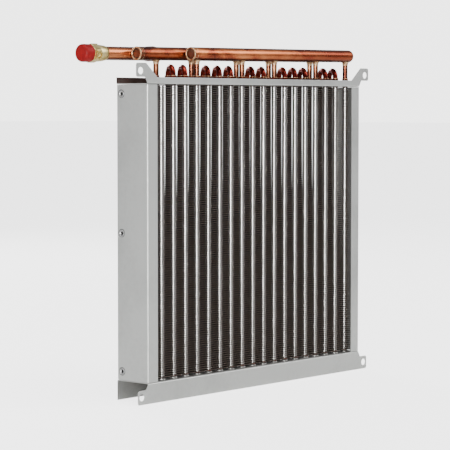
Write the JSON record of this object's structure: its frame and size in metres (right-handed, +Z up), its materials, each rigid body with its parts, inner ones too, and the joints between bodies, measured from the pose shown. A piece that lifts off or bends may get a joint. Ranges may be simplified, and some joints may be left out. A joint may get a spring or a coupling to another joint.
{
  "type": "heat exchanger coil",
  "caption": "Finned tube heat exchanger coil in a folded sheet casing with fixing ears, hairpin tubes, return bends and two copper headers above it.",
  "frame": {"origin": "bottom centre of the box round the whole coil, level with the edges it stands on", "axes": "+X along the headers away from the supply connection, +Y from the front to the back, +Z up"},
  "size_m": [0.5838, 0.075, 0.5058],
  "materials": {
    "galvanised_sheet": "galvanised, satin",
    "fin_metal": "thin rippled sheet",
    "brazed_copper": "copper, heat tinted by brazing",
    "plain_copper": "copper, as drawn",
    "brass_fitting": "machined",
    "red_plastic": "satin"
  },
  "bodies": {
    "root": {"bottom_plate": "galvanised_sheet", "fin_pack": "fin_metal", "front_header": "brazed_copper", "front_header_plug": "brazed_copper", "front_stub_04": "brazed_copper", "front_stub_08": "brazed_copper", "front_stub_11": "brazed_copper", "front_stub_15": "brazed_copper", "front_stub_18": "brazed_copper", "hairpin_tube_01": "brazed_copper", "hairpin_tube_02": "brazed_copper", "hairpin_tube_03": "brazed_copper", "hairpin_tube_04": "brazed_copper", "hairpin_tube_05": "brazed_copper", "hairpin_tube_06": "brazed_copper", "hairpin_tube_07": "brazed_copper", "hairpin_tube_08": "brazed_copper", "hairpin_tube_09": "brazed_copper", "hairpin_tube_10": "brazed_copper", "hairpin_tube_11": "brazed_copper", "hairpin_tube_12": "brazed_copper", "hairpin_tube_13": "brazed_copper", "hairpin_tube_14": "brazed_copper", "hairpin_tube_15": "brazed_copper", "hairpin_tube_16": "brazed_copper", "hairpin_tube_17": "brazed_copper", "left_side_plate": "galvanised_sheet", "protective_cap": "red_plastic", "rear_header": "brazed_copper", "rear_header_plug": "brazed_copper", "rear_stub_01": "brazed_copper", "rear_stub_04": "brazed_copper", "rear_stub_08": "brazed_copper", "rear_stub_11": "brazed_copper", "rear_stub_15": "brazed_copper", "return_bend_02": "brazed_copper", "return_bend_03": "brazed_copper", "return_bend_05": "brazed_copper", "return_bend_06": "brazed_copper", "return_bend_07": "brazed_copper", "return_bend_09": "brazed_copper", "return_bend_10": "brazed_copper", "return_bend_12": "brazed_copper", "return_bend_13": "brazed_copper", "return_bend_14": "brazed_copper", "return_bend_16": "brazed_copper", "return_bend_17": "brazed_copper", "return_pipe": "brazed_copper", "right_side_plate": "galvanised_sheet", "supply_pipe": "plain_copper", "supply_union": "brass_fitting", "top_plate": "galvanised_sheet", "vent_screw": "brass_fitting"}
  },
  "joints": []
}
